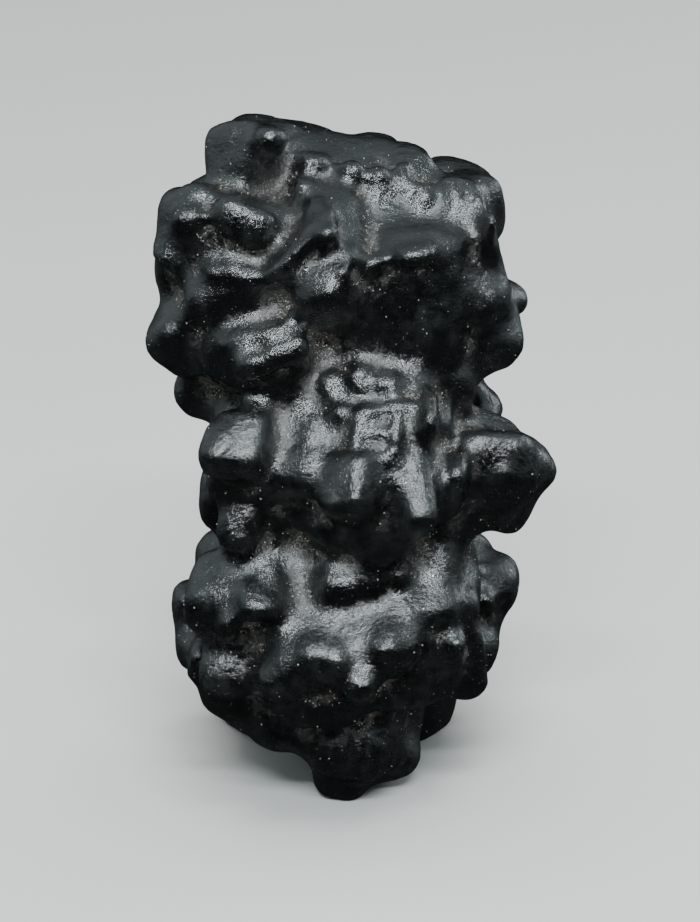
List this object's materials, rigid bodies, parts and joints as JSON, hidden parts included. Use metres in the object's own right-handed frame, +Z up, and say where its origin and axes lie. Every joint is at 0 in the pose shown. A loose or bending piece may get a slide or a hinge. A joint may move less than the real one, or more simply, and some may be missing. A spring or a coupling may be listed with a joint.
{
  "type": "prophecy stone",
  "caption": "Black lobed natural concretion: three tiers of blocky rounded crystal lumps that narrow to a blunt tip, standing upright on its lower lobes.",
  "frame": {"origin": "under the middle of the stone's box, at the level it stands on", "axes": "+Z up, the stone's long way as it stands; -Y towards the viewer, the side with the great fang; +X to the viewer's right"},
  "size_m": [0.034, 0.0308, 0.0588],
  "materials": {
    "stone": "satin"
  },
  "bodies": {
    "root": {"prophecy_stone": "stone"}
  },
  "joints": []
}
